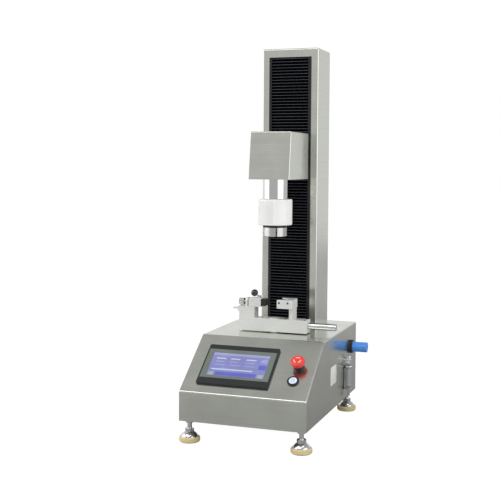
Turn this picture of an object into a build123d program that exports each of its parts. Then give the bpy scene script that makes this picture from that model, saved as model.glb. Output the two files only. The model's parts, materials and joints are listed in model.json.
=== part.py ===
from build123d import *
import os
from math import cos, hypot, radians, sin, sqrt

# Bottle cap torque tester, in millimetres.
# Frame: +X to the operator's right, +Y away from the operator, +Z up. The origin is on the floor,
# below the middle of the whole tester's outline.

# Cabinet: a folded sheet shell with a sloping front, on four levelling feet
cabinet_width = 350
cabinet_depth = 530
front_height = 79
slope_depth = 166.5
slope_rise = 124.5
foot_height = 60
sheet = 2
bend_radius = 6
corner_radius = 3
base_thickness = 3
rear_inset = 3
fit_gap = 0.3
running_gap = 0.05

# Levelling feet
foot_inset_x = 20
foot_inset_y = 28
foot_radius = 25
ring_height = 14
ring_lip = 3
dome_height = 13
dome_neck_radius = 11
foot_nut_width = 22
foot_nut_height = 9
stud_radius = 6
stud_inside = 24
lock_nut_width = 19
lock_nut_height = 9
foot_travel = 12

# Column on the deck, with the bellows window in its front
column_width = 170
column_depth = 125
column_height = 810.5
column_radius = 4
window_width = 127
window_top_margin = 25
cover_slots = 9

# Bellows and the channels that their edges run in
fold_pitch = 8.7
fold_depth = 18
fold_cloth = 2.5
guide_proud = 3
guide_lip = 8
guide_wall = 1

# Lift drive inside the column
spine_width = 100
spine_thickness = 14
spine_standoff = 4
spine_foot_width = 140
spine_foot_depth = 100
spine_foot_thickness = 12
rail_spacing = 68
rail_width = 15
rail_height = 12.5
rail_groove = 2.5
block_width = 34
block_length = 45
block_thickness = 20
block_standoff = 4
carriage_thickness = 12
carriage_width = 104
screw_radius = 8
journal_radius = 6
journal_length = 14
nut_width = 31
nut_length = 44
lift_motor_width = 57
lift_motor_length = 78
head_travel_up = 120
head_travel_down = 130

# Head: the cover and the spindle drive, seen with the head at its working height
head_above_deck = 431
head_width = 120
head_height = 132.5
head_front_top = 226
head_front_bottom = 208.5
head_back_gap = 4
cover_sheet = 1.5
cover_radius = 3
floor_thickness = 12
arm_thickness = 10
arm_reach = 130
test_axis_y = 272.5
motor_radius = 34.8
motor_show = 55.5
motor_flange = 84
motor_flange_thickness = 7
motor_body_width = 66
motor_body_length = 82
housing_radius = 48
housing_height = 72.5
housing_chamfer = 2
shaft_radius = 12
shaft_in_motor = 14

# Gripper that turns the cap
grip_angle = 24
disc_radius = 34
disc_thickness = 6.3
jaw_radius = 33.5
jaw_height = 25
jaw_split = 4
jaw_chamfer = 1.2
tee_neck = 8
tee_head = 14
tee_neck_height = 2.3
tee_head_height = 2.3
tee_play = 0.15
tee_length = 24
tee_start = 6
cap_radius = 13.5
cap_depth = 12
grip_pad = 3

# Bottle fixture on the deck, on the axis of the torque sensor
fixture_gap = 2.6
bar_depth = 35
bar_height = 36.5
bar_chamfer = 1
bar_wall = 13
block_right = -54
block_rise = 16.5
slideway_over = 4
slideway_thickness = 15
upright_from_right = 22
upright_thickness = 6
upright_height = 24
seat_radius = 15
seat_rise = 1.5
pin_radius = 3
pin_length = 20
jaw_gap = 4
rest_jaw_height = 23.5
rest_pad_tip = -22
rest_pad_thickness = 14
pad_height = 19
pad_depth = 28
bottle_radius = 25
screw_above_deck = 82.5
adjust_knob_radius = 10.5
adjust_knob_length = 14
adjust_knob_gap = 8
adjust_flutes = 12
flute_radius = 1.6
shank_radius = 4
shank_in_jaw = 9
lever_from_pad = 10
lever_hub_radius = 6
lever_hub_height = 7
lever_stud_radius = 4
lever_stud_depth = 12
lever_stem_radius = 2.6
ball_radius = 10
ball_reach = 14
ball_above_deck = 108
sensor_radius = 35
sensor_height = 60
spigot_radius = 12

# Driven clamp on the right of the fixture
arm_tip = 15.5
arm_right = 60
arm_half_depth = 28
arm_height = 24
arm_above_bar = 31.5
post_thickness = 12
notch_liner = 2.5
rod_radius = 4
rod_above_bar_foot = 20
tongue_width = 9
tongue_depth = 24
tongue_play = 0.3
clamp_stroke = 25
slot_play = 2
cylinder_radius = 9.8
cylinder_length = 80
cylinder_bore = 8
cylinder_nose = 12
cylinder_cap = 9
piston_length = 6

# Touch screen on the slope; "along" is measured up the slope from its front bend
screen_x = -36
screen_along = 98.5
screen_width = 200
screen_height = 138
screen_corner = 4
screen_bezel = 6
cutout_width = 190
cutout_height = 128
screen_box_depth = 32
glass_width = 191
glass_height = 101
glass_thickness = 2
glass_shift = 2

# Buttons on the slope
estop_from_side = 47
estop_along = 113
estop_hole_radius = 11
estop_collar_radius = 15
estop_collar_height = 9
estop_plunger_radius = 7
estop_travel = 4
estop_head_radius = 19
estop_head_height = 14
estop_skirt_radius = 13
estop_skirt_height = 3
estop_block_width = 32
estop_block_height = 38
power_from_side = 51
power_along = 64
power_hole_radius = 12.5
power_rim_radius = 16
power_rim_height = 3.5
power_cap_radius = 11
power_cap_proud = 4.2
power_travel = 1.5
power_body_depth = 26

# Air regulator and filter on the right side
regulator_from_rear = 70
regulator_above_foot = 141
regulator_neck_radius = 15
collar_radius = 19.5
collar_thickness = 8
knob_radius = 14.6
knob_length = 42
knob_flutes = 20
knob_stem_radius = 4
knob_stem_length = 16
regulator_body_width = 42
regulator_body_length = 50
filter_from_rear = 130
filter_above_foot = 107
filter_block = 21
filter_neck_radius = 7
bowl_radius = 9.6
bowl_stand_off = 1.4
bowl_length = 62
nipple_hex_width = 17
nipple_hex_height = 8
nipple_radius = 4
nipple_length = 18

# Rear panel and what is mounted inside the cabinet
inlet_from_side = 65
inlet_above_foot = 60
inlet_width = 50
inlet_height = 31
inlet_flange = 2
inlet_cavity_width = 24.6
inlet_cavity_height = 17
inlet_cavity_depth = 16
inlet_wall = 1.6
pin_width = 2
pin_height = 4
pin_reach = 9
pin_pitch = 7
supply_width = 98
supply_depth = 160
supply_height = 38
controller_width = 90
controller_depth = 110
controller_height = 78
inside_left = 22

# Heights above the floor and depths behind the front face, worked out from the sizes above
underside = foot_height
bend_low = underside + front_height
deck = bend_low + slope_rise
column_front = cabinet_depth - column_depth
column_top = deck + column_height
window_top = column_top - window_top_margin
head_bottom = deck + head_above_deck
head_top = head_bottom + head_height
head_back = column_front - head_back_gap
housing_top = head_bottom - motor_show
housing_bottom = housing_top - housing_height
disc_top = housing_bottom - fit_gap
disc_bottom = disc_top - disc_thickness
jaw_top = disc_bottom - fit_gap
jaw_bottom = jaw_top - jaw_height
bar_foot = deck + fixture_gap
bar_top = bar_foot + bar_height
block_top = bar_top + block_rise
slideway_top = block_top + slideway_thickness
rest_jaw_foot = slideway_top + fit_gap
rest_jaw_top = rest_jaw_foot + rest_jaw_height
screw_height = deck + screw_above_deck
arm_foot = bar_top + arm_above_bar
rod_height = bar_foot + rod_above_bar_foot
seat_top = bar_top + seat_rise
bar_end = arm_right + clamp_stroke + slot_play + bar_wall
slideway_left = -bar_end - slideway_over
upright_right = block_right - upright_from_right
upright_left = upright_right - upright_thickness
rest_jaw_left = upright_right + jaw_gap
rest_jaw_right = rest_pad_tip - rest_pad_thickness
lever_pivot_x = rest_jaw_right - lever_from_pad
ball_x = lever_pivot_x - ball_reach
spine_back = cabinet_depth - sheet - spine_standoff
spine_front = spine_back - spine_thickness
block_back = spine_front - block_standoff
block_front = block_back - block_thickness
carriage_front = block_front - carriage_thickness
screw_y = (block_front + block_back) / 2
spine_foot_top = deck - sheet
spine_foot_bottom = spine_foot_top - spine_foot_thickness
spine_top = column_top - sheet - spine_standoff
bearing_bottom = spine_top - spine_foot_thickness - journal_length
floor_bottom = head_bottom + fit_gap
floor_top = floor_bottom + floor_thickness
regulator_height = underside + regulator_above_foot
filter_height = underside + filter_above_foot
side_x = cabinet_width / 2
estop_x = side_x - estop_from_side
power_x = side_x - power_from_side
inlet_x = inlet_from_side - side_x
regulator_y = cabinet_depth - regulator_from_rear
filter_y = cabinet_depth - filter_from_rear
slope_length = hypot(slope_depth, slope_rise)

# The outline reaches from the left feet to the end of the regulator knob
foot_x = side_x - foot_inset_x
knob_end = side_x + collar_thickness + fit_gap + knob_length
middle_x = (foot_x + foot_radius + ring_lip - knob_end) / 2
front_y = -cabinet_depth / 2


def level(height):
    """Horizontal plane: x from the cabinet's middle, y from its front face."""
    return Plane(origin=(middle_x, front_y, height))


def facing(depth):
    """Upright plane that faces the operator: x from the middle, height above the floor."""
    return Plane(origin=(middle_x, front_y + depth, 0), x_dir=(1, 0, 0), z_dir=(0, -1, 0))


def sideways(x):
    """Upright plane along the cabinet: depth behind the front face, height above the floor."""
    return Plane(origin=(middle_x + x, front_y, 0), x_dir=(0, 1, 0), z_dir=(1, 0, 0))


def on_axis(height):
    """Horizontal plane whose own origin is on the test axis."""
    return Plane(origin=(middle_x, front_y + test_axis_y, height))


def on_slope(x, along, out=0):
    """Plane in the sloping face, centred x from the middle and along up the slope."""
    up_y, up_z = slope_depth / slope_length, slope_rise / slope_length
    corner = Vector(middle_x + x, front_y, bend_low)
    spot = corner + Vector(0, up_y, up_z) * along + Vector(0, -up_z, up_y) * out
    return Plane(origin=spot, x_dir=(1, 0, 0), z_dir=(0, -up_z, up_y))


def grip_level(height, turn=0):
    """Horizontal plane on the test axis, turned so that its x is the way a jaw opens."""
    angle = radians(grip_angle + turn)
    return Plane(origin=(middle_x, front_y + test_axis_y, height), x_dir=(cos(angle), sin(angle), 0))


def grip_across(distance, height, turn=0):
    """Upright plane across a jaw's way, at a distance out from the test axis."""
    angle = radians(grip_angle + turn)
    way = Vector(cos(angle), sin(angle), 0)
    spot = Vector(middle_x, front_y + test_axis_y, height) + way * distance
    return Plane(origin=spot, x_dir=(-sin(angle), cos(angle), 0), z_dir=way)


def box_between(x_low, x_high, y_low, y_high):
    """Rectangle in the current sketch between two corners."""
    with Locations(((x_low + x_high) / 2, (y_low + y_high) / 2)):
        Rectangle(x_high - x_low, y_high - y_low)


rod_axis = Axis((middle_x, front_y + test_axis_y, rod_height), (1, 0, 0))

pieces = {}


# Cabinet

cabinet_outline = [
    (0, underside),
    (0, bend_low),
    (slope_depth, deck),
    (cabinet_depth, deck),
    (cabinet_depth, underside),
]
with BuildPart() as cabinet_shell:
    with BuildSketch(sideways(-side_x)):
        with BuildLine():
            Polyline(*cabinet_outline, close=True)
        make_face()
    extrude(amount=cabinet_width)
    across = cabinet_shell.edges().filter_by(Axis.X).group_by(Axis.Y)
    fillet([across[0].sort_by(Axis.Z)[-1], across[1][0]], bend_radius)
    outline = cabinet_shell.faces().filter_by(Axis.X).edges()
    fillet([e for e in outline if e.center().Z > underside + 1 and e.center().Y < -front_y - 1], corner_radius)
    with BuildSketch(sideways(-side_x + sheet)):
        with BuildLine():
            Polyline(*cabinet_outline, close=True)
        make_face()
        offset(amount=-sheet, kind=Kind.INTERSECTION)
        box_between(sheet, cabinet_depth, underside, underside + sheet)
        box_between(cabinet_depth - 2 * sheet, cabinet_depth, underside, deck - sheet)
    extrude(amount=cabinet_width - 2 * sheet, mode=Mode.SUBTRACT)
    with BuildSketch(on_slope(0, 0)):
        with Locations((screen_x, screen_along)):
            Rectangle(cutout_width, cutout_height)
        with Locations((estop_x, estop_along)):
            Circle(estop_hole_radius)
        with Locations((power_x, power_along)):
            Circle(power_hole_radius)
    extrude(amount=-2 * sheet, mode=Mode.SUBTRACT)
    with BuildSketch(level(deck)):
        half = spine_width / 2 + 1
        box_between(-half, half, screw_y - 2 * screw_radius, spine_back + 1)
        with Locations((0, test_axis_y)):
            Circle(spigot_radius + 2)
    extrude(amount=-2 * sheet, mode=Mode.SUBTRACT)
    with BuildSketch(sideways(side_x)):
        with Locations((regulator_y, regulator_height)):
            Circle(regulator_neck_radius)
        with Locations((filter_y, filter_height)):
            Circle(filter_neck_radius)
    extrude(amount=-2 * sheet, mode=Mode.SUBTRACT)
pieces["cabinet_shell"] = cabinet_shell

feet_y = (foot_inset_y, cabinet_depth - foot_inset_y)
feet = {
    "front_left": (-foot_x, feet_y[0]),
    "front_right": (foot_x, feet_y[0]),
    "rear_left": (-foot_x, feet_y[1]),
    "rear_right": (foot_x, feet_y[1]),
}

with BuildPart() as cabinet_base_plate:
    with BuildSketch(level(underside)):
        box_between(-side_x + sheet, side_x - sheet, sheet, cabinet_depth - rear_inset - sheet)
        with Locations(*feet.values()):
            Circle(stud_radius + 2 * running_gap, mode=Mode.SUBTRACT)
        with Locations((0, cabinet_depth * 0.45)):
            with GridLocations(18, 0, 8, 1):
                SlotOverall(70, 6, rotation=90, mode=Mode.SUBTRACT)
    extrude(amount=base_thickness)
pieces["cabinet_base_plate"] = cabinet_base_plate

rear_panel_y = cabinet_depth - rear_inset
inlet_height_z = underside + inlet_above_foot
with BuildPart() as cabinet_rear_panel:
    with BuildSketch(facing(rear_panel_y)):
        box_between(-side_x + sheet, side_x - sheet, underside, deck - sheet)
        with Locations((inlet_x, inlet_height_z)):
            Rectangle(
                inlet_cavity_width + 2 * inlet_wall, inlet_cavity_height + 2 * inlet_wall, mode=Mode.SUBTRACT
            )
        with Locations((60, underside + inlet_above_foot)):
            with GridLocations(0, 11, 1, 6):
                SlotOverall(110, 4, mode=Mode.SUBTRACT)
    extrude(amount=sheet)
pieces["cabinet_rear_panel"] = cabinet_rear_panel

with BuildPart() as power_inlet:
    with BuildSketch(facing(rear_panel_y)):
        with Locations((inlet_x, inlet_height_z)):
            RectangleRounded(inlet_width, inlet_height, 3)
    extrude(amount=-inlet_flange)
    with BuildSketch(facing(rear_panel_y)):
        with Locations((inlet_x, inlet_height_z)):
            Rectangle(inlet_cavity_width + 2 * inlet_wall, inlet_cavity_height + 2 * inlet_wall)
    extrude(amount=inlet_cavity_depth)
    with BuildSketch(facing(rear_panel_y + inlet_flange)):
        with Locations((inlet_x, inlet_height_z)):
            Rectangle(inlet_cavity_width, inlet_cavity_height)
    extrude(amount=inlet_cavity_depth, mode=Mode.SUBTRACT)
    with BuildSketch(facing(rear_panel_y + inlet_flange - inlet_cavity_depth)):
        with Locations((inlet_x - pin_pitch, inlet_height_z - 1.5), (inlet_x + pin_pitch, inlet_height_z - 1.5)):
            Rectangle(pin_width, pin_height)
        with Locations((inlet_x, inlet_height_z + 2.5)):
            Rectangle(pin_width, pin_height)
    extrude(amount=-pin_reach)
pieces["power_inlet"] = power_inlet

with BuildPart() as power_supply:
    with BuildSketch(level(underside + base_thickness)):
        with Locations((-side_x + inside_left + supply_width / 2, cabinet_depth * 0.72)):
            Rectangle(supply_width, supply_depth)
    extrude(amount=supply_height)
    fillet(power_supply.edges().filter_by(Axis.Y).group_by(Axis.Z)[-1], sheet)
    with BuildSketch(level(underside + base_thickness + supply_height)):
        with Locations((-side_x + inside_left + supply_width / 2, cabinet_depth * 0.72)):
            with GridLocations(12, 0, 6, 1):
                SlotOverall(supply_depth * 0.6, 5, rotation=90)
    extrude(amount=-sheet, mode=Mode.SUBTRACT)
pieces["power_supply"] = power_supply

with BuildPart() as controller:
    with BuildSketch(level(underside + base_thickness)):
        with Locations((-side_x + inside_left + controller_width / 2, cabinet_depth * 0.42)):
            Rectangle(controller_width, controller_depth)
    extrude(amount=controller_height)
    chamfer(controller.edges().filter_by(Axis.Y).group_by(Axis.Z)[-1], 6)
    with BuildSketch(level(underside + base_thickness + controller_height)):
        with Locations((-side_x + inside_left + controller_width / 2, cabinet_depth * 0.42)):
            with GridLocations(controller_width - 24, 0, 2, 1):
                Rectangle(8, controller_depth - 14)
    extrude(amount=-6, mode=Mode.SUBTRACT)
pieces["controller"] = controller

# Feet

with BuildPart() as foot_lock_nuts:
    with BuildSketch(level(underside - lock_nut_height)):
        with Locations(*feet.values()):
            RegularPolygon(lock_nut_width / 2, 6, major_radius=False)
            Circle(stud_radius + 2 * running_gap, mode=Mode.SUBTRACT)
    extrude(amount=lock_nut_height)
pieces["foot_lock_nuts"] = foot_lock_nuts

for corner, (x, y) in feet.items():
    own_axis = Axis((middle_x + x, front_y + y, 0), (0, 0, 1))
    dome_top = ring_height + dome_height
    rim = foot_radius + ring_lip
    with BuildPart() as ring:
        with BuildSketch(facing(y)):
            with BuildLine():
                Polyline(
                    (x, 0),
                    (x + rim - 3, 0),
                    (x + rim, 3),
                    (x + rim, ring_height - 2),
                    (x + rim - 2, ring_height),
                    (x + foot_radius - 2, ring_height),
                    (x + foot_radius - 2, ring_height - 6),
                    (x, ring_height - 6),
                    close=True,
                )
            make_face()
        revolve(axis=own_axis)
    pieces["foot_ring_" + corner] = ring
    with BuildPart() as foot:
        with BuildSketch(facing(y)):
            with BuildLine():
                Polyline(
                    (x, ring_height - 6),
                    (x + foot_radius - 2, ring_height - 6),
                    (x + foot_radius - 2, ring_height + 1),
                )
                RadiusArc(
                    (x + foot_radius - 2, ring_height + 1), (x + dome_neck_radius, dome_top), -foot_radius
                )
                Polyline(
                    (x + dome_neck_radius, dome_top),
                    (x + stud_radius, dome_top),
                    (x + stud_radius, underside + stud_inside),
                    (x, underside + stud_inside),
                    (x, ring_height - 6),
                )
            make_face()
        revolve(axis=own_axis)
        with BuildSketch(level(dome_top)):
            with Locations((x, y)):
                RegularPolygon(foot_nut_width / 2, 6, major_radius=False)
        extrude(amount=foot_nut_height)
    pieces["foot_" + corner] = foot

# Column

with BuildPart() as column_housing:
    with BuildSketch(level(deck)):
        box_between(-column_width / 2, column_width / 2, column_front, cabinet_depth)
    extrude(amount=column_height)
    corners = column_housing.edges().filter_by(Axis.Z).group_by(Axis.Y)[0]
    crown = column_housing.faces().sort_by(Axis.Z)[-1].edges().sort_by(Axis.Y)[:-1]
    fillet(list(corners) + list(crown), column_radius)
    with BuildSketch(level(deck)):
        inner = column_width / 2 - sheet
        box_between(-inner, inner, column_front + sheet, cabinet_depth)
    extrude(amount=column_height - sheet, mode=Mode.SUBTRACT)
    with BuildSketch(facing(column_front)):
        box_between(-window_width / 2, window_width / 2, deck, window_top)
    extrude(amount=-2 * sheet, mode=Mode.SUBTRACT)
pieces["column_housing"] = column_housing

cover_side = column_width / 2 - sheet
with BuildPart() as column_rear_cover:
    with BuildSketch(facing(cabinet_depth)):
        box_between(-cover_side, cover_side, deck, column_top - sheet)
        for middle in (deck + 90, column_top - 110):
            with Locations((0, middle)):
                with GridLocations(0, 12, 1, cover_slots):
                    SlotOverall(90, 4, mode=Mode.SUBTRACT)
    extrude(amount=sheet)
pieces["column_rear_cover"] = column_rear_cover

with BuildPart() as column_spine:
    with BuildSketch(level(spine_foot_bottom)):
        box_between(-spine_foot_width / 2, spine_foot_width / 2, spine_back - spine_foot_depth, spine_back)
    extrude(amount=spine_foot_thickness)
    with BuildSketch(level(spine_foot_bottom)):
        box_between(-spine_width / 2, spine_width / 2, spine_front, spine_back)
    extrude(amount=spine_top - spine_foot_bottom)
    with BuildSketch(level(bearing_bottom)):
        half = nut_width / 2 + 3
        box_between(-half, half, screw_y - 2 * screw_radius, spine_front)
    extrude(amount=spine_foot_thickness + journal_length)
    fillet(column_spine.edges().filter_by(Axis.Z).group_by(Axis.Y)[0], 4)
    with BuildSketch(level(spine_top)):
        with Locations((0, screw_y)):
            Circle(journal_radius + running_gap)
    extrude(amount=-spine_foot_thickness - journal_length, mode=Mode.SUBTRACT)
    with BuildSketch(level(spine_foot_top)):
        with Locations((0, screw_y)):
            Circle(journal_radius + running_gap)
    extrude(amount=-spine_foot_thickness, mode=Mode.SUBTRACT)
pieces["column_spine"] = column_spine

rail_front = spine_front - rail_height
rail_bottom = deck + 12
rail_top = bearing_bottom - 6


def rail_points(play):
    """Corners of one rail's section, widened on both sides and on top by a play."""
    waist = rail_width / 2 - rail_groove + play
    half = rail_width / 2 + play
    waist_middle = rail_front + rail_height / 2
    one_side = [
        (half, rail_front - play),
        (half, waist_middle - rail_groove),
        (waist, waist_middle),
        (half, waist_middle + rail_groove),
        (half, spine_front),
    ]
    return one_side + [(-x, y) for x, y in reversed(one_side)]


with BuildSketch() as rail_section:
    with BuildLine():
        Polyline(*rail_points(0), close=True)
    make_face()
with BuildSketch() as rail_channel:
    with BuildLine():
        Polyline(*rail_points(fit_gap), close=True)
    make_face()

with BuildPart() as guide_rails:
    with BuildSketch(level(rail_bottom)):
        with Locations((-rail_spacing / 2, 0), (rail_spacing / 2, 0)):
            add(rail_section.sketch)
    extrude(amount=rail_top - rail_bottom)
pieces["guide_rails"] = guide_rails

with BuildPart() as rail_blocks:
    for block_low in (head_bottom + 6, head_top - 6 - block_length):
        with BuildSketch(level(block_low)):
            for x in (-rail_spacing / 2, rail_spacing / 2):
                box_between(x - block_width / 2, x + block_width / 2, block_front, block_back)
                with Locations((x, 0)):
                    add(rail_channel.sketch, mode=Mode.SUBTRACT)
        extrude(amount=block_length)
pieces["rail_blocks"] = rail_blocks

with BuildPart() as ball_nut:
    nut_low = (head_bottom + head_top - nut_length) / 2
    with BuildSketch(level(nut_low)):
        box_between(-nut_width / 2, nut_width / 2, block_front, block_back)
        with Locations((0, screw_y)):
            Circle(screw_radius + running_gap, mode=Mode.SUBTRACT)
    extrude(amount=nut_length)
pieces["ball_nut"] = ball_nut

with BuildPart() as lift_screw:
    with BuildSketch(level(spine_foot_top + fit_gap)):
        with Locations((0, screw_y)):
            Circle(screw_radius)
    extrude(amount=bearing_bottom - spine_foot_top - 2 * fit_gap)
    with BuildSketch(level(spine_foot_bottom - journal_length)):
        with Locations((0, screw_y)):
            Circle(journal_radius)
    extrude(amount=bearing_bottom + 2 * journal_length - spine_foot_bottom)
pieces["lift_screw"] = lift_screw

with BuildPart() as lift_motor:
    with BuildSketch(level(spine_foot_bottom)):
        with Locations((0, screw_y)):
            RectangleRounded(lift_motor_width, lift_motor_width, 5)
    extrude(amount=-lift_motor_length)
    with BuildSketch(level(spine_foot_bottom - 9)):
        with Locations((0, screw_y)):
            Rectangle(lift_motor_width + 2, lift_motor_width + 2)
            RectangleRounded(lift_motor_width - 3, lift_motor_width - 3, 7, mode=Mode.SUBTRACT)
    extrude(amount=-lift_motor_length + 24, mode=Mode.SUBTRACT)
    with BuildSketch(level(spine_foot_bottom)):
        with Locations((0, screw_y)):
            Circle(journal_radius + running_gap)
    extrude(amount=-journal_length - 2, mode=Mode.SUBTRACT)
pieces["lift_motor"] = lift_motor


# Bellows: pleated cloth in two lengths, one above and one below the head

guide_front = column_front - guide_proud
fold_front = guide_front + guide_wall + fit_gap
fold_back = fold_front + fold_depth
guide_back = fold_back + fit_gap + guide_wall
fold_half = window_width / 2 - guide_wall - fit_gap


def pleats(low, high):
    """One length of pleated cloth between two heights."""
    steps = 2 * round((high - low) / fold_pitch)
    rise = (high - low) / steps
    reach = fold_depth - fold_cloth
    line = [(fold_front + reach * (i % 2), low + i * rise) for i in range(steps + 1)]
    with BuildPart() as cloth:
        with BuildSketch(sideways(-fold_half)):
            with BuildLine():
                Polyline(*line, *[(y + fold_cloth, z) for y, z in reversed(line)], close=True)
            make_face()
        extrude(amount=2 * fold_half)
    return cloth


pieces["bellows_upper"] = pleats(head_top + fit_gap, window_top)
pieces["bellows_lower"] = pleats(deck, head_bottom - fit_gap)

with BuildPart() as bellows_guides:
    with BuildSketch(level(deck)):
        edge = window_width / 2
        for side in (-1, 1):
            with BuildLine():
                Polyline(
                    (side * edge, guide_front),
                    (side * (edge - guide_lip), guide_front),
                    (side * (edge - guide_lip), guide_front + guide_wall),
                    (side * (edge - guide_wall), guide_front + guide_wall),
                    (side * (edge - guide_wall), guide_back - guide_wall),
                    (side * (edge - guide_lip), guide_back - guide_wall),
                    (side * (edge - guide_lip), guide_back),
                    (side * edge, guide_back),
                    close=True,
                )
            make_face()
    extrude(amount=window_top - deck)
pieces["bellows_guides"] = bellows_guides

# Head

cover_inside = head_width / 2 - cover_sheet
cover_outline = [
    (head_front_bottom, head_bottom),
    (head_front_top, head_top),
    (head_back, head_top),
    (head_back, head_bottom),
]
with BuildPart() as head_cover:
    with BuildSketch(sideways(-head_width / 2)):
        with BuildLine():
            Polyline(*cover_outline, close=True)
        make_face()
    extrude(amount=head_width)
    back = head_cover.faces().sort_by(Axis.Y)[-1]
    under = head_cover.faces().sort_by(Axis.Z)[0]
    kept_sharp = list(back.edges()) + list(under.edges())
    fillet([e for e in head_cover.edges() if all(e != k for k in kept_sharp)], cover_radius)
    with BuildSketch(sideways(-cover_inside)):
        with BuildLine():
            Polyline(*cover_outline, close=True)
        make_face()
        offset(amount=-cover_sheet, kind=Kind.INTERSECTION)
        box_between(head_front_bottom + cover_sheet, head_back, head_bottom, head_bottom + cover_sheet)
        box_between(head_back - 2 * cover_sheet, head_back, head_bottom, head_top - cover_sheet)
    extrude(amount=2 * cover_inside, mode=Mode.SUBTRACT)
pieces["head_cover"] = head_cover

neck_half = window_width / 2 - guide_lip - 2
with BuildPart() as head_carriage:
    with BuildSketch(level(head_bottom)):
        box_between(-carriage_width / 2, carriage_width / 2, carriage_front, block_front)
    extrude(amount=head_height)
    with BuildSketch(level(floor_bottom)):
        floor_half = cover_inside - fit_gap
        box_between(-floor_half, floor_half, head_front_top + cover_sheet, head_back - fit_gap)
        box_between(-neck_half, neck_half, head_back - fit_gap, carriage_front)
        with Locations((0, test_axis_y)):
            Circle(motor_radius + running_gap, mode=Mode.SUBTRACT)
    extrude(amount=floor_thickness)
    for arm_left in (-neck_half, neck_half - arm_thickness):
        with BuildSketch(sideways(arm_left)):
            with BuildLine():
                Polyline(
                    (carriage_front, floor_bottom),
                    (carriage_front, head_top - 12),
                    (carriage_front - 30, head_top - 12),
                    (carriage_front - arm_reach, floor_top + 6),
                    (carriage_front - arm_reach, floor_bottom),
                    close=True,
                )
            make_face()
        extrude(amount=arm_thickness)
pieces["head_carriage"] = head_carriage

with BuildPart() as spindle_motor:
    with BuildSketch(on_axis(housing_top)):
        Circle(motor_radius)
    extrude(amount=floor_top - housing_top)
    chamfer(spindle_motor.faces().sort_by(Axis.Z)[0].edges(), jaw_chamfer)
    with BuildSketch(on_axis(floor_top)):
        RectangleRounded(motor_flange, motor_flange, 10)
    extrude(amount=motor_flange_thickness)
    with BuildSketch(on_axis(floor_top + motor_flange_thickness)):
        RectangleRounded(motor_body_width, motor_body_width, 8)
    extrude(amount=motor_body_length)
    fillet(spindle_motor.faces().sort_by(Axis.Z)[-1].edges(), 3)
    with BuildSketch(on_axis(housing_top)):
        Circle(shaft_radius + running_gap)
    extrude(amount=shaft_in_motor, mode=Mode.SUBTRACT)
pieces["spindle_motor"] = spindle_motor

with BuildPart() as spindle_housing:
    with BuildSketch(on_axis(housing_bottom)):
        Circle(housing_radius)
        Circle(shaft_radius + running_gap, mode=Mode.SUBTRACT)
    extrude(amount=housing_height)
    rims = spindle_housing.edges().filter_by(GeomType.CIRCLE).filter_by(lambda e: e.radius > shaft_radius + 1)
    chamfer(rims, housing_chamfer)
pieces["spindle_housing"] = spindle_housing

# Gripper

with BuildPart() as gripper_body:
    with BuildSketch(on_axis(disc_bottom)):
        Circle(disc_radius)
    extrude(amount=disc_thickness)
    with BuildSketch(on_axis(disc_top)):
        Circle(shaft_radius)
    extrude(amount=housing_top + shaft_in_motor - 2 - disc_top)
    with BuildSketch(grip_across(-disc_radius - 1, disc_bottom)):
        neck = tee_neck / 2 + tee_play
        head = tee_head / 2 + tee_play
        roof = tee_neck_height + tee_head_height + 2 * tee_play
        box_between(-neck, neck, 0, tee_neck_height)
        box_between(-head, head, tee_neck_height, roof)
    extrude(amount=2 * disc_radius + 2, mode=Mode.SUBTRACT)
pieces["gripper_body"] = gripper_body

jaws_turned = {"right": 0, "left": 180}
for side, turn in jaws_turned.items():
    with BuildPart() as jaw:
        with BuildSketch(grip_level(jaw_bottom, turn)):
            Circle(jaw_radius)
            with Locations((jaw_split / 2 - jaw_radius, 0)):
                Rectangle(2 * jaw_radius, 2 * jaw_radius, mode=Mode.SUBTRACT)
        extrude(amount=jaw_height)
        chamfer(jaw.faces().sort_by(Axis.Z)[0].edges(), jaw_chamfer)
        with BuildSketch(grip_level(jaw_bottom, turn)):
            Circle(cap_radius + grip_pad)
        extrude(amount=cap_depth, mode=Mode.SUBTRACT)
        with BuildSketch(grip_across(tee_start, jaw_top, turn)):
            roof = fit_gap + tee_neck_height + tee_head_height
            box_between(-tee_neck / 2, tee_neck / 2, 0, roof)
            box_between(-tee_head / 2, tee_head / 2, fit_gap + tee_neck_height + tee_play, roof)
        extrude(amount=tee_length)
    pieces["grip_jaw_" + side] = jaw
    with BuildPart() as pad:
        with BuildSketch(grip_level(jaw_bottom, turn)):
            Circle(cap_radius + grip_pad)
            Circle(cap_radius, mode=Mode.SUBTRACT)
            with Locations((jaw_split / 2 - jaw_radius, 0)):
                Rectangle(2 * jaw_radius, 2 * jaw_radius, mode=Mode.SUBTRACT)
        extrude(amount=cap_depth)
    pieces["grip_pad_" + side] = pad

# Bottle fixture

post_left = arm_right - post_thickness
tongue_half = tongue_width / 2
fixture_back = test_axis_y + bar_depth / 2
with BuildPart() as fixture_bar:
    with BuildSketch(facing(fixture_back)):
        with BuildLine():
            Polyline(
                (-bar_end, bar_foot),
                (-bar_end, block_top),
                (block_right, block_top),
                (block_right, bar_top),
                (bar_end, bar_top),
                (bar_end, bar_foot),
                close=True,
            )
        make_face()
    extrude(amount=bar_depth)
    sharp = fixture_bar.edges().filter_by(Axis.Y).sort_by(Axis.Z)
    chamfer([e for e in sharp if abs(e.center().X - middle_x - block_right) > 1], bar_chamfer)
    with BuildSketch(level(bar_top)):
        slot_left, slot_right = post_left - slot_play, bar_end - bar_wall
        slot_half = tongue_half + tongue_play
        box_between(slot_left, slot_right, test_axis_y - slot_half, test_axis_y + slot_half)
    extrude(amount=-tongue_depth - tongue_play, mode=Mode.SUBTRACT)
    with BuildSketch(sideways(bar_end)):
        with Locations((test_axis_y, rod_height)):
            Circle(rod_radius + fit_gap)
    extrude(amount=post_left - bar_end, mode=Mode.SUBTRACT)
    with BuildSketch(on_axis(bar_top)):
        Circle(seat_radius)
    extrude(amount=seat_rise)
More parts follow.
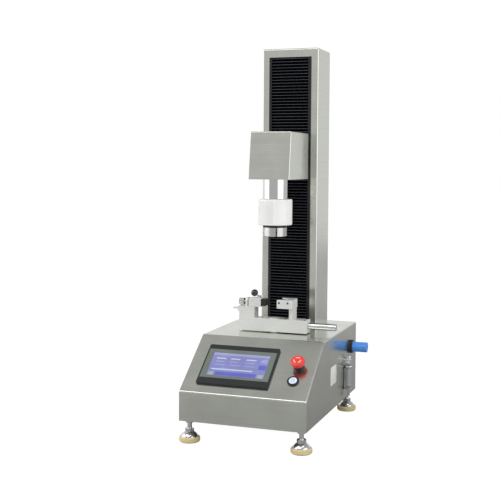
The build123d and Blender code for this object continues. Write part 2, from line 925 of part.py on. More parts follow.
pieces["fixture_bar"] = fixture_bar

with BuildPart() as torque_sensor:
    with BuildSketch(on_axis(deck - sheet)):
        Circle(sensor_radius)
    extrude(amount=-sensor_height)
    chamfer(torque_sensor.faces().sort_by(Axis.Z)[0].edges(), 3)
    with BuildSketch(on_axis(deck - sheet - sensor_height / 3)):
        Circle(sensor_radius)
        Circle(sensor_radius - 6, mode=Mode.SUBTRACT)
    extrude(amount=-sensor_height / 3, mode=Mode.SUBTRACT)
    with BuildSketch(on_axis(deck - sheet)):
        Circle(spigot_radius)
    extrude(amount=bar_foot - deck + sheet)
pieces["torque_sensor"] = torque_sensor

fixture_front_y = test_axis_y - bar_depth / 2
with BuildPart() as screw_bracket:
    with BuildSketch(level(block_top)):
        box_between(slideway_left, block_right, fixture_front_y, fixture_back)
    extrude(amount=slideway_thickness)
    chamfer(screw_bracket.edges().filter_by(Axis.Y).group_by(Axis.Z)[-1], bar_chamfer)
    with BuildSketch(level(slideway_top)):
        box_between(upright_left, upright_right, fixture_front_y + 3, fixture_back - 3)
    extrude(amount=upright_height)
    fillet(screw_bracket.faces().sort_by(Axis.Z)[-1].edges().filter_by(Axis.X), 8)
    with BuildSketch(sideways(block_right + 1)):
        neck = tee_neck / 2 + tee_play
        head = tee_head / 2 + tee_play
        shelf = slideway_top - tee_neck_height - fit_gap
        box_between(test_axis_y - neck, test_axis_y + neck, shelf, slideway_top)
        box_between(test_axis_y - head, test_axis_y + head, shelf - tee_head_height - 2 * tee_play, shelf)
    extrude(amount=upright_right + 1 - block_right, mode=Mode.SUBTRACT)
    with BuildSketch(sideways(upright_left)):
        with Locations((test_axis_y, screw_height)):
            Circle(shank_radius + running_gap)
    extrude(amount=upright_thickness, mode=Mode.SUBTRACT)
    with BuildSketch(sideways(slideway_left)):
        with Locations((test_axis_y, block_top + slideway_thickness / 2)):
            Circle(pin_radius)
    extrude(amount=-pin_length)
    fillet(screw_bracket.faces().sort_by(Axis.X)[0].edges(), 1)
pieces["screw_bracket"] = screw_bracket

with BuildPart() as rest_jaw:
    with BuildSketch(level(rest_jaw_foot)):
        box_between(rest_jaw_left, rest_jaw_right, fixture_front_y, fixture_back)
    extrude(amount=rest_jaw_height)
    chamfer(rest_jaw.faces().sort_by(Axis.Z)[-1].edges(), bar_chamfer)
    with BuildSketch(sideways(rest_jaw_left + 2)):
        shelf = rest_jaw_foot - fit_gap - tee_neck_height - fit_gap - tee_play
        box_between(test_axis_y - tee_neck / 2, test_axis_y + tee_neck / 2, shelf, rest_jaw_foot)
        box_between(test_axis_y - tee_head / 2, test_axis_y + tee_head / 2, shelf - tee_head_height, shelf)
    extrude(amount=block_right - rest_jaw_left - 4)
    with BuildSketch(sideways(rest_jaw_left)):
        with Locations((test_axis_y, screw_height)):
            Circle(shank_radius + running_gap)
    extrude(amount=shank_in_jaw + 1, mode=Mode.SUBTRACT)
    with BuildSketch(level(rest_jaw_top)):
        with Locations((lever_pivot_x, test_axis_y)):
            Circle(lever_stud_radius + running_gap)
    extrude(amount=-lever_stud_depth - 1, mode=Mode.SUBTRACT)
pieces["rest_jaw"] = rest_jaw

pad_foot = rest_jaw_foot + (rest_jaw_height - pad_height) / 2
with BuildPart() as rest_pad:
    with BuildSketch(level(pad_foot)):
        box_between(rest_jaw_right, rest_pad_tip, test_axis_y - pad_depth / 2, test_axis_y + pad_depth / 2)
        with Locations((0, test_axis_y)):
            Circle(bottle_radius + fit_gap, mode=Mode.SUBTRACT)
    extrude(amount=pad_height)
pieces["rest_pad"] = rest_pad

knob_right = upright_left - adjust_knob_gap
knob_left = knob_right - adjust_knob_length
with BuildPart() as adjusting_screw:
    with BuildSketch(sideways(knob_left)):
        with Locations((test_axis_y, screw_height)):
            Circle(adjust_knob_radius)
            with PolarLocations(adjust_knob_radius + flute_radius / 3, adjust_flutes):
                Circle(flute_radius, mode=Mode.SUBTRACT)
    extrude(amount=adjust_knob_length)
    with BuildSketch(sideways(knob_right)):
        with Locations((test_axis_y, screw_height)):
            Circle(shank_radius)
    extrude(amount=rest_jaw_left + shank_in_jaw - knob_right)
pieces["adjusting_screw"] = adjusting_screw

ball_height = deck + ball_above_deck
hub_foot = rest_jaw_top + fit_gap
stem_foot = Vector(middle_x + lever_pivot_x, front_y + test_axis_y, hub_foot + lever_hub_height / 2)
ball_middle = Vector(middle_x + ball_x, front_y + test_axis_y, ball_height)
stem_way = (ball_middle - stem_foot).normalized()
with BuildPart() as lock_lever:
    with BuildSketch(level(hub_foot)):
        with Locations((lever_pivot_x, test_axis_y)):
            Circle(lever_hub_radius)
    extrude(amount=lever_hub_height)
    chamfer(lock_lever.faces().sort_by(Axis.Z)[-1].edges(), 1)
    with BuildSketch(level(hub_foot)):
        with Locations((lever_pivot_x, test_axis_y)):
            Circle(lever_stud_radius)
    extrude(amount=-lever_stud_depth)
    with BuildSketch(Plane(origin=stem_foot, x_dir=(0, 1, 0), z_dir=stem_way)):
        Circle(lever_stem_radius)
    extrude(amount=(ball_middle - stem_foot).length - ball_radius / 2)
pieces["lock_lever"] = lock_lever

with BuildPart() as lock_knob:
    with BuildSketch(Plane(origin=ball_middle, x_dir=(0, 1, 0), z_dir=Vector(0, 1, 0).cross(stem_way))):
        with BuildLine():
            ThreePointArc(
                (lever_stem_radius, -sqrt(ball_radius**2 - lever_stem_radius**2)),
                (ball_radius, 0),
                (0, ball_radius),
            )
            Polyline(
                (0, ball_radius),
                (0, -ball_radius / 2),
                (lever_stem_radius, -ball_radius / 2),
                (lever_stem_radius, -sqrt(ball_radius**2 - lever_stem_radius**2)),
            )
        make_face()
    revolve(axis=Axis(ball_middle, stem_way))
pieces["lock_knob"] = lock_knob

# Driven clamp

notch_inner = (bottle_radius + fit_gap) * sqrt(2)
notch_outer = notch_inner + notch_liner * sqrt(2)
with BuildPart() as clamp_arm:
    with BuildSketch(on_axis(arm_foot)):
        with BuildLine():
            Polyline(
                (arm_tip, arm_half_depth),
                (arm_right, arm_half_depth),
                (arm_right, -arm_half_depth),
                (arm_tip, -arm_half_depth),
                (arm_tip, arm_tip - notch_outer),
                (notch_outer, 0),
                (arm_tip, notch_outer - arm_tip),
                close=True,
            )
        make_face()
    extrude(amount=arm_height)
    fillet(clamp_arm.edges().filter_by(Axis.Z).group_by(Axis.X)[-1], 5)
    chamfer(clamp_arm.faces().sort_by(Axis.Z)[-1].edges(), bar_chamfer)
    with BuildSketch(on_axis(bar_top + fit_gap)):
        box_between(post_left, arm_right, -bar_depth / 2, bar_depth / 2)
    extrude(amount=arm_foot - bar_top - fit_gap)
    with BuildSketch(on_axis(bar_top + fit_gap)):
        box_between(post_left, arm_right, -tongue_half, tongue_half)
    extrude(amount=-tongue_depth)
pieces["clamp_arm"] = clamp_arm

with BuildPart() as clamp_pad:
    with BuildSketch(on_axis(arm_foot + (arm_height - pad_height) / 2)):
        with BuildLine():
            Polyline(
                (arm_tip, notch_outer - arm_tip),
                (notch_outer, 0),
                (arm_tip, arm_tip - notch_outer),
                (arm_tip, arm_tip - notch_inner),
                (notch_inner, 0),
                (arm_tip, notch_inner - arm_tip),
                close=True,
            )
        make_face()
    extrude(amount=pad_height)
pieces["clamp_pad"] = clamp_pad

piston_left = bar_end + cylinder_nose + running_gap
with BuildPart() as clamp_rod:
    with BuildSketch(sideways(arm_right)):
        with Locations((test_axis_y, rod_height)):
            Circle(rod_radius)
    extrude(amount=piston_left - arm_right)
    with BuildSketch(sideways(piston_left)):
        with Locations((test_axis_y, rod_height)):
            Circle(cylinder_bore - running_gap)
    extrude(amount=piston_length)
pieces["clamp_rod"] = clamp_rod

cylinder_end = bar_end + cylinder_length
with BuildPart() as clamp_cylinder:
    with BuildSketch(level(rod_height)):
        with BuildLine():
            Polyline(
                (bar_end, test_axis_y + rod_radius + running_gap),
                (bar_end, test_axis_y + cylinder_radius - 1),
                (bar_end + cylinder_nose, test_axis_y + cylinder_radius - 1),
                (bar_end + cylinder_nose, test_axis_y + cylinder_radius),
                (cylinder_end - cylinder_cap, test_axis_y + cylinder_radius),
                (cylinder_end - cylinder_cap, test_axis_y + cylinder_radius - 1),
                (cylinder_end - cylinder_cap + 2, test_axis_y + cylinder_radius - 1),
                (cylinder_end - cylinder_cap + 2, test_axis_y + cylinder_radius),
                (cylinder_end - 1, test_axis_y + cylinder_radius),
                (cylinder_end, test_axis_y + cylinder_radius - 1),
                (cylinder_end, test_axis_y),
                (cylinder_end - cylinder_cap, test_axis_y),
                (cylinder_end - cylinder_cap, test_axis_y + cylinder_bore),
                (bar_end + cylinder_nose, test_axis_y + cylinder_bore),
                (bar_end + cylinder_nose, test_axis_y + rod_radius + running_gap),
                close=True,
            )
        make_face()
    revolve(axis=rod_axis)
pieces["clamp_cylinder"] = clamp_cylinder

# Touch screen

with BuildPart() as hmi_housing:
    with BuildSketch(on_slope(screen_x, screen_along)):
        RectangleRounded(screen_width, screen_height, screen_corner)
    extrude(amount=screen_bezel)
    fillet(hmi_housing.edges().group_by(Axis(on_slope(0, 0).origin, on_slope(0, 0).z_dir))[-1], 1.2)
    with BuildSketch(on_slope(screen_x, screen_along)):
        Rectangle(cutout_width - 2 * fit_gap, cutout_height - 2 * fit_gap)
    extrude(amount=-screen_box_depth)
    with BuildSketch(on_slope(screen_x, screen_along + glass_shift, screen_bezel)):
        Rectangle(glass_width, glass_height)
    extrude(amount=-glass_thickness, mode=Mode.SUBTRACT)
pieces["hmi_housing"] = hmi_housing

with BuildPart() as hmi_glass:
    with BuildSketch(on_slope(screen_x, screen_along + glass_shift, screen_bezel - glass_thickness)):
        Rectangle(glass_width, glass_height)
    extrude(amount=glass_thickness)
pieces["hmi_glass"] = hmi_glass

# Emergency stop

with BuildPart() as estop_collar:
    with BuildSketch(on_slope(estop_x, estop_along)):
        Circle(estop_collar_radius)
    extrude(amount=estop_collar_height)
    chamfer(estop_collar.faces().sort_by(Axis(on_slope(0, 0).origin, on_slope(0, 0).z_dir))[-1].edges(), 1.5)
    with BuildSketch(on_slope(estop_x, estop_along)):
        Circle(estop_hole_radius)
    extrude(amount=-sheet - 6)
    with BuildSketch(on_slope(estop_x, estop_along, -sheet - 6)):
        RectangleRounded(estop_block_width, estop_block_width, 3)
    extrude(amount=-estop_block_height)
    with BuildSketch(on_slope(estop_x, estop_along, estop_collar_height)):
        Circle(estop_plunger_radius + running_gap)
    extrude(amount=-estop_collar_height - sheet - 12, mode=Mode.SUBTRACT)
pieces["estop_collar"] = estop_collar

head_foot = estop_collar_height + estop_travel + 1
with BuildPart() as estop_plunger:
    with BuildSketch(on_slope(estop_x, estop_along, head_foot)):
        Circle(estop_plunger_radius)
    extrude(amount=-head_foot - sheet - 6)
    with BuildSketch(on_slope(estop_x, estop_along, head_foot)):
        Circle(estop_plunger_radius - 2)
    extrude(amount=estop_head_height / 2)
pieces["estop_plunger"] = estop_plunger

with BuildPart() as estop_head:
    with BuildSketch(on_slope(estop_x, estop_along, head_foot + running_gap)):
        Circle(estop_skirt_radius)
    extrude(amount=estop_skirt_height)
    with BuildSketch(on_slope(estop_x, estop_along, head_foot + estop_skirt_height)):
        Circle(estop_head_radius)
    extrude(amount=estop_head_height - estop_skirt_height)
    rim_edges = estop_head.faces().sort_by(Axis(on_slope(0, 0).origin, on_slope(0, 0).z_dir))[-1].edges()
    fillet(rim_edges, 5)
    with BuildSketch(on_slope(estop_x, estop_along, head_foot)):
        Circle(estop_plunger_radius - 2 + running_gap)
    extrude(amount=estop_head_height / 2 + 2 * running_gap, mode=Mode.SUBTRACT)
pieces["estop_head"] = estop_head

# Power button

with BuildPart() as power_bezel:
    with BuildSketch(on_slope(power_x, power_along)):
        Circle(power_rim_radius)
    extrude(amount=power_rim_height)
    chamfer(power_bezel.faces().sort_by(Axis(on_slope(0, 0).origin, on_slope(0, 0).z_dir))[-1].edges(), 0.8)
    with BuildSketch(on_slope(power_x, power_along)):
        Circle(power_hole_radius)
    extrude(amount=-power_body_depth)
    with BuildSketch(on_slope(power_x, power_along, power_rim_height)):
        Circle(power_cap_radius + running_gap)
    extrude(amount=-power_rim_height - 6 - power_travel, mode=Mode.SUBTRACT)
pieces["power_bezel"] = power_bezel

with BuildPart() as power_cap:
    with BuildSketch(on_slope(power_x, power_along, power_cap_proud)):
        Circle(power_cap_radius)
    extrude(amount=-power_cap_proud - 6)
    fillet(power_cap.faces().sort_by(Axis(on_slope(0, 0).origin, on_slope(0, 0).z_dir))[-1].edges(), 0.8)
pieces["power_cap"] = power_cap

# Air regulator and filter

with BuildPart() as regulator_body:
    with BuildSketch(sideways(side_x - sheet)):
        with Locations((regulator_y, regulator_height)):
            RectangleRounded(regulator_body_width, regulator_body_width, 6)
    extrude(amount=-regulator_body_length)
    with BuildSketch(sideways(side_x - sheet)):
        with Locations((regulator_y, regulator_height)):
            Circle(regulator_neck_radius - fit_gap)
    extrude(amount=sheet + collar_thickness)
    with BuildSketch(sideways(side_x + collar_thickness)):
        with Locations((regulator_y, regulator_height)):
            Circle(knob_stem_radius + running_gap)
    extrude(amount=-knob_stem_length - 1, mode=Mode.SUBTRACT)
pieces["regulator_body"] = regulator_body

with BuildPart() as regulator_collar:
    with BuildSketch(sideways(side_x)):
        with Locations((regulator_y, regulator_height)):
            Circle(collar_radius)
            Circle(regulator_neck_radius - fit_gap + running_gap, mode=Mode.SUBTRACT)
            with PolarLocations(collar_radius + 1, 12):
                Circle(2, mode=Mode.SUBTRACT)
    extrude(amount=collar_thickness)
pieces["regulator_collar"] = regulator_collar

knob_start = side_x + collar_thickness + fit_gap
with BuildPart() as regulator_knob:
    with BuildSketch(sideways(knob_start)):
        with Locations((regulator_y, regulator_height)):
            Circle(knob_radius)
            with PolarLocations(knob_radius + 0.5, knob_flutes):
                Circle(1.2, mode=Mode.SUBTRACT)
    extrude(amount=knob_length)
    with BuildSketch(sideways(knob_start + knob_length)):
        with Locations((regulator_y, regulator_height)):
            Circle(knob_radius - 2.5)
    extrude(amount=-1, mode=Mode.SUBTRACT)
    with BuildSketch(sideways(knob_start)):
        with Locations((regulator_y, regulator_height)):
            Circle(knob_stem_radius)
    extrude(amount=-knob_stem_length)
pieces["regulator_knob"] = regulator_knob

bowl_x = side_x + bowl_stand_off + bowl_radius
block_bottom = filter_height - filter_block / 2
with BuildPart() as filter_head:
    with BuildSketch(sideways(side_x)):
        with Locations((filter_y, filter_height)):
            RectangleRounded(filter_block, filter_block, 3)
    extrude(amount=bowl_stand_off + 2 * bowl_radius)
    fillet(filter_head.faces().sort_by(Axis.X)[-1].edges(), 1.5)
    with BuildSketch(sideways(side_x)):
        with Locations((filter_y, filter_height)):
            Circle(filter_neck_radius - fit_gap)
    extrude(amount=-sheet - 8)
pieces["filter_head"] = filter_head

with BuildPart() as filter_bowl:
    with BuildSketch(level(block_bottom)):
        with Locations((bowl_x, filter_y)):
            Circle(bowl_radius)
    extrude(amount=-bowl_length)
    fillet(filter_bowl.faces().sort_by(Axis.Z)[0].edges(), 4)
    for ring_at in (6, bowl_length - 10):
        with BuildSketch(level(block_bottom - ring_at)):
            with Locations((bowl_x, filter_y)):
                Circle(bowl_radius)
                Circle(bowl_radius - 0.8, mode=Mode.SUBTRACT)
        extrude(amount=-2, mode=Mode.SUBTRACT)
pieces["filter_bowl"] = filter_bowl

bowl_bottom = block_bottom - bowl_length
with BuildPart() as air_inlet:
    with BuildSketch(level(bowl_bottom)):
        with Locations((bowl_x, filter_y)):
            RegularPolygon(nipple_hex_width / 2, 6, major_radius=False)
    extrude(amount=-nipple_hex_height)
    with BuildSketch(level(bowl_bottom - nipple_hex_height)):
        with Locations((bowl_x, filter_y)):
            Circle(nipple_radius)
    extrude(amount=-nipple_length)
    chamfer(air_inlet.faces().sort_by(Axis.Z)[0].edges(), 0.8)
    with BuildSketch(level(bowl_bottom - nipple_hex_height - nipple_length)):
        with Locations((bowl_x, filter_y)):
            Circle(nipple_radius - 1.5)
    extrude(amount=nipple_length + nipple_hex_height / 2, mode=Mode.SUBTRACT)
pieces["air_inlet"] = air_inlet

os.makedirs("parts", exist_ok=True)
for name, piece in pieces.items():
    piece.part.label = name
    export_step(piece.part, "parts/" + name + ".step")
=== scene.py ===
import json
from math import cos, pi, radians, sin

import bmesh
import bpy
from mathutils import Matrix, Vector


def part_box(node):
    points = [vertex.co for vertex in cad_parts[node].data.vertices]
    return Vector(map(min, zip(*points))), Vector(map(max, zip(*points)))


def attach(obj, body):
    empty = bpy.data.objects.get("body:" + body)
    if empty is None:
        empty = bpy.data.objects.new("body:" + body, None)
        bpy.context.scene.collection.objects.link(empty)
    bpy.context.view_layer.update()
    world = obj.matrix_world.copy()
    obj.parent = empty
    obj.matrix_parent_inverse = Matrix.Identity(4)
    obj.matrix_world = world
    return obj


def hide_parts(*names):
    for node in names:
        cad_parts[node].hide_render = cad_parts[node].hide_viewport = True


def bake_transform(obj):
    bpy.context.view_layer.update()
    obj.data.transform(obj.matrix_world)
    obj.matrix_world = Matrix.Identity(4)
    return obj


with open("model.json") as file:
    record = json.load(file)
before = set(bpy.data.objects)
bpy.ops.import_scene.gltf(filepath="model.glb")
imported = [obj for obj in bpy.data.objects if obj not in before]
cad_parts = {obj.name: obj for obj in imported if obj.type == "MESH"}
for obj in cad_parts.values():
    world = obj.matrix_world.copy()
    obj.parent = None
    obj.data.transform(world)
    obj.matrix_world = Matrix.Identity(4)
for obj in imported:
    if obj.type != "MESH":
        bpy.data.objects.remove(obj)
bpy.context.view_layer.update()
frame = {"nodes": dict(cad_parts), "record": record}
nodes = frame["nodes"]
scene = bpy.context.scene

# Places and sizes are in the cabinet's millimetres: right of its middle, behind its front, above the
# floor. Most places come from the CAD nodes' boxes.
cabinet_low, cabinet_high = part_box("cabinet_shell")
MIDDLE = (cabinet_low.x + cabinet_high.x) / 2
FRONT = cabinet_low.y
MM = 1 / 1000
UP = Vector((0, 0, 1))
RIGHTWARD = Vector((1, 0, 0))
BACKWARD = Vector((0, 1, 0))
FORWARD = -BACKWARD

# The sloping panel: the height that it starts at, its depth and its rise
SLOPE_FOOT, SLOPE_DEPTH, SLOPE_RISE = 139, 166.5, 124.5
SLOPE_UP = Vector((0, SLOPE_DEPTH, SLOPE_RISE)).normalized()
SLOPE_OUT = Vector((0, -SLOPE_UP.z, SLOPE_UP.y))

# The test axis, about which the cap turns, is above the cabinet's middle at this depth
AXIS_DEPTH = 272.5


def place(x, y, z):
    """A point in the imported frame, in metres, from the cabinet's millimetres."""
    return Vector((MIDDLE + x * MM, FRONT + y * MM, z * MM))


def corners(node):
    """A CAD node's lowest and highest corners in the cabinet's millimetres."""
    return [Vector((corner.x - MIDDLE, corner.y - FRONT, corner.z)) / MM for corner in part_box(node)]


# Camera: the photograph's viewpoint, with the focal length and the shifts in its pixels
EYE = (0.82755, -2.5912, 0.733)
YAW, PITCH, ROLL = radians(19.372), radians(3.074), radians(0.3506)
PICTURE, FOCAL, SHIFT_RIGHT, SHIFT_UP = 500, 973.33, -3.40, -32.31
SENSOR, FAR = 36, 50

forward = Vector((-sin(YAW) * cos(PITCH), cos(YAW) * cos(PITCH), -sin(PITCH)))
level = forward.cross(UP).normalized()
upright = level.cross(forward)
right = level * cos(ROLL) + upright * sin(ROLL)
top = upright * cos(ROLL) - level * sin(ROLL)
camera = bpy.data.objects.new("camera", bpy.data.cameras.new("camera"))
scene.collection.objects.link(camera)
camera.matrix_world = Matrix.Translation(EYE) @ Matrix((right, top, -forward)).transposed().to_4x4()
camera.data.sensor_width = SENSOR
camera.data.lens = FOCAL / PICTURE * SENSOR
camera.data.shift_x = SHIFT_RIGHT / PICTURE
camera.data.shift_y = SHIFT_UP / PICTURE
camera.data.clip_end = FAR
scene.camera = camera


class Nodes:
    """Short calls for building a node tree."""

    def __init__(self, tree):
        self.tree = tree

    def add(self, kind, inputs=(), **settings):
        """A node with its settings, and its inputs by name or number."""
        node = self.tree.nodes.new(kind)
        for name, value in settings.items():
            setattr(node, name, value)
        for key, value in dict(inputs).items():
            self.put(node.inputs[key], value)
        return node

    def put(self, socket, value):
        """Links an output to a socket, or sets a constant on it."""
        if hasattr(value, "is_output"):
            self.tree.links.new(value, socket)
        else:
            socket.default_value = value

    def math(self, operation, a, b=0.0):
        return self.add("ShaderNodeMath", {0: a, 1: b}, operation=operation).outputs[0]

    def mix(self, factor, a, b, blend="MIX"):
        """Two colours mixed. A colour mix has its own sockets, at 0, 6, 7 and output 2."""
        node = self.add("ShaderNodeMix", data_type="RGBA", blend_type=blend)
        for socket, value in ((0, factor), (6, a), (7, b)):
            self.put(node.inputs[socket], value)
        return node.outputs[2]

    def span(self, value, low, high, to_low=0.0, to_high=1.0):
        """A value's range moved smoothly to another range, and kept inside it."""
        node = self.add("ShaderNodeMapRange", {0: value, 1: low, 2: high, 3: to_low, 4: to_high},
                        interpolation_type="SMOOTHSTEP")
        return node.outputs[0]

    def noise(self, where, scale, detail, roughness):
        return self.add("ShaderNodeTexNoise", {"Vector": where, "Scale": scale, "Detail": detail,
                                               "Roughness": roughness}).outputs[0]

    def stretched(self, where, stretch):
        return self.add("ShaderNodeMapping", {"Vector": where, "Scale": stretch}).outputs[0]

    def grey(self, tone):
        return self.add("ShaderNodeCombineColor", {0: tone, 1: tone, 2: tone}).outputs[0]


def rgb(red, green, blue):
    """A linear colour from 0-255 screen values."""
    def linear(v):
        v /= 255
        return v / 12.92 if v <= 0.04045 else ((v + 0.055) / 1.055) ** 2.4
    return (linear(red), linear(green), linear(blue), 1)


# Brushing: noise this fine across the strokes and this slow along them
STROKE_FINE, STROKE_SLOW = 900, 5


def strokes(t, where, stretch):
    return t.noise(t.stretched(where, stretch), 1.0, 4, 0.6)


def level_strokes(t, where):
    """Brushing that runs level: along X on the faces that look forward or up, along Y on the sides."""
    normal = t.add("ShaderNodeNewGeometry").outputs["True Normal"]
    sideways = t.add("ShaderNodeSeparateXYZ", {0: normal}).outputs[0]
    on_side = t.math("GREATER_THAN", t.math("ABSOLUTE", sideways), 0.7)
    along_x = strokes(t, where, (STROKE_SLOW, STROKE_FINE, STROKE_FINE))
    along_y = strokes(t, where, (STROKE_FINE, STROKE_SLOW, STROKE_FINE))
    return t.add("ShaderNodeMix", {0: on_side, 2: along_x, 3: along_y}, data_type="FLOAT").outputs[0]


def worn_and_highlit_edges(t, width, amount):
    """How strongly an edge is painted paler, as wear and as a painted highlight: more where a softened
    normal leaves the sharp one, at an edge.
    """
    soft = t.add("ShaderNodeBevel", {"Radius": width}, samples=4).outputs[0]
    sharp = t.add("ShaderNodeNewGeometry").outputs["Normal"]
    same = t.add("ShaderNodeVectorMath", {0: soft, 1: sharp}, operation="DOT_PRODUCT").outputs["Value"]
    return t.math("MULTIPLY", t.span(same, 0.995, 0.80, 0, 1), amount)


# How fine the clouds and the flecks of every surface are, how deep its bumps are in metres, and the
# usual colour of an edge painted paler, as wear and as a painted highlight
CLOUD_SCALE, FLECK_SCALE, BUMP_DEPTH = 14, 900, 0.0004
EDGE_WEAR_AND_HIGHLIGHT = (0.9, 0.9, 0.9, 1)


def material(name, colour, roughness=0.4, metallic=0.0, grain=None, grain_depth=0.0, uneven=0.06,
             speckle=0.0, spread=0.05, edge=0.0, edge_width=0.0006, edge_colour=EDGE_WEAR_AND_HIGHLIGHT,
             bump_strength=0.12, **extra):
    """A surface with uneven tone, its grain or speckle as colour, gloss and bump, and edges painted paler
    as wear and as a painted highlight.
    """
    made = bpy.data.materials.new(name)
    made.use_nodes = True
    t = Nodes(made.node_tree)
    shader = made.node_tree.nodes["Principled BSDF"]
    where = t.add("ShaderNodeTexCoord").outputs["Object"]
    cloud = t.noise(where, CLOUD_SCALE, 4, 0.55)
    tone = t.span(cloud, 0.3, 0.7, 1 - uneven, 1 + uneven)
    height = None
    if grain:
        height = level_strokes(t, where) if grain == "level" else strokes(t, where, grain)
        tone = t.math("MULTIPLY", tone, t.span(height, 0.3, 0.7, 1 - grain_depth, 1 + grain_depth))
    if speckle:
        height = t.noise(where, FLECK_SCALE, 2, 0.5)
        tone = t.math("MULTIPLY", tone, t.span(height, 0.3, 0.7, 1 - speckle, 1 + speckle))
    tinted = t.mix(1.0, colour, t.grey(tone), "MULTIPLY")
    if edge:
        # Edges painted paler: partly wear, partly a painted highlight along them
        tinted = t.mix(worn_and_highlit_edges(t, edge_width, edge), tinted, edge_colour)
    t.put(shader.inputs["Base Color"], tinted)
    rough = t.span(cloud, 0.25, 0.75, max(0.02, roughness - spread), roughness + spread)
    t.put(shader.inputs["Roughness"], rough)
    shader.inputs["Metallic"].default_value = metallic
    if height is not None:
        bump = t.add("ShaderNodeBump", {"Strength": bump_strength, "Distance": BUMP_DEPTH,
                                        "Height": height})
        t.put(shader.inputs["Normal"], bump.outputs[0])
    for key, value in extra.items():
        shader.inputs[key.replace("_", " ").title()].default_value = value
    return made


looks = {
    "brushed_steel": material("brushed steel sheet", rgb(208, 210, 202), 0.22, 1, "level", 0.05, 0.025,
                              edge=0.35, edge_width=0.0008, edge_colour=rgb(226, 228, 224),
                              bump_strength=0.05),
    "bright_steel": material("bright steel", rgb(204, 205, 203), 0.16, 1, (900, 900, 60), 0.04, 0.03,
                             edge=0.3),
    "chrome": material("chrome plate", rgb(216, 217, 218), 0.07, 1, speckle=0.01, uneven=0.03,
                       spread=0.02),
    "machined_aluminium": material("machined aluminium", rgb(232, 233, 230), 0.4, 0.5, (40, 700, 700),
                                   0.05, 0.03, edge=0.4, edge_width=0.0005, bump_strength=0.06),
    "polished_motor": material("polished motor case", rgb(206, 207, 204), 0.14, 1, (700, 700, 12),
                               0.03, 0.02, edge=0.4),
    "white_enamel": material("white enamel", rgb(247, 248, 245), 0.3, 0, speckle=0.01, uneven=0.015,
                             coat_weight=0.3, coat_roughness=0.12),
    "jaw_steel": material("jaw steel", rgb(196, 197, 194), 0.3, 1, (60, 60, 900), 0.04, 0.03, edge=0.4),
    "black_steel": material("blackened steel", rgb(38, 38, 40), 0.35, 0.6, speckle=0.08, edge=0.3,
                            edge_colour=(0.25, 0.25, 0.25, 1)),
    "motor_black": material("black motor case", rgb(40, 40, 42), 0.45, 0.2, speckle=0.08),
    # The cloth's pale edge colour is a painted highlight along the pleats' ridges
    "bellows_cloth": material("bellows cloth", rgb(20, 21, 25), 0.28, 0, (3, 3, 3000), 0.1, 0.1,
                              edge=0.3, edge_width=0.0009, edge_colour=rgb(92, 96, 106),
                              bump_strength=0.03),
    "guide_black": material("black guide strip", rgb(14, 14, 17), 0.25, 0, speckle=0.06),
    "black_rubber": material("black rubber", rgb(28, 28, 29), 0.6, 0, speckle=0.2, spread=0.1),
    "foot_rubber": material("foot rubber", rgb(230, 212, 160), 0.6, 0, speckle=0.12, spread=0.1),
    "screen_plastic": material("screen housing plastic", rgb(26, 28, 30), 0.55, 0, speckle=0.1,
                               edge=0.35, edge_colour=rgb(110, 112, 112)),
    "screen_glass": material("screen glass", rgb(112, 120, 114), 0.22, 0, speckle=0.01,
                             coat_weight=0.15, coat_roughness=0.2),
    "black_plastic": material("black plastic", rgb(24, 24, 27), 0.4, 0, speckle=0.1, edge=0.3,
                              edge_colour=rgb(90, 90, 92)),
    "knob_black": material("black ball knob", rgb(16, 16, 20), 0.12, 0, speckle=0.02, coat_weight=0.7),
    "estop_red": material("red plastic", rgb(236, 62, 50), 0.34, 0, speckle=0.04, coat_weight=0.3,
                          coat_roughness=0.15),
    "button_white": material("lit white cap", rgb(228, 236, 255), 0.25, 0, speckle=0.01,
                             coat_weight=0.5),
    "regulator_blue": material("blue plastic", rgb(84, 156, 242), 0.35, 0, speckle=0.05,
                               coat_weight=0.15),
    "supply_case": material("zinc-plated case", rgb(190, 192, 190), 0.32, 1, speckle=0.05),
}
for part in frame["record"]["subparts"]:
    node = nodes[part["node"]]
    node.data.materials.clear()
    node.data.materials.append(looks[part["material_slot"]])

# World: white to the camera, a softly uneven studio to everything that it lights or that mirrors it
world = bpy.data.worlds.new("studio")
scene.world = world
world.use_nodes = True
w = Nodes(world.node_tree)
world.node_tree.nodes.clear()
generated = w.add("ShaderNodeTexCoord").outputs["Generated"]
rightward, backward, skyward = w.add("ShaderNodeSeparateXYZ", {0: generated}).outputs
behind = w.span(backward, -0.2, 0.6)
front_room = w.span(skyward, 0.1, 0.8, 0.62, 0.46)
back_room = w.math("MULTIPLY", w.span(skyward, 0.0, 0.9, 0.95, 0.5),
                   w.span(rightward, -0.1, 0.45, 1.0, 0.76))
studio = w.math("ADD", w.math("MULTIPLY", behind, back_room),
                w.math("MULTIPLY", w.math("SUBTRACT", 1, behind), front_room))
strength = w.math("MAXIMUM", w.add("ShaderNodeLightPath").outputs["Is Camera Ray"], studio)
backdrop = w.add("ShaderNodeBackground", {"Color": (1, 1, 1, 1), "Strength": strength})
w.tree.links.new(backdrop.outputs[0], w.add("ShaderNodeOutputWorld").inputs[0])


def lamp(name, at, aim_height, width, height, power):
    """A soft box at a point, in metres, that faces a height above the origin."""
    data = bpy.data.lights.new(name, "AREA")
    data.shape, data.size, data.size_y, data.energy = "RECTANGLE", width, height, power
    made = bpy.data.objects.new(name, data)
    made.location = at
    made.rotation_euler = (Vector((0, 0, aim_height)) - Vector(at)).to_track_quat("-Z", "Y").to_euler()
    scene.collection.objects.link(made)


lamp("left box", (-2.7, -0.9, 1.2), 0.6, 3.2, 2.2, 30)
lamp("right box", (2.6, -1.0, 1.2), 0.6, 3.2, 2.2, 27)
lamp("front box", (-0.9, -2.2, 3.1), 0.3, 3.0, 1.2, 34)
lamp("overhead", (0.9, -0.7, 2.7), 0.4, 1.2, 0.9, 9)

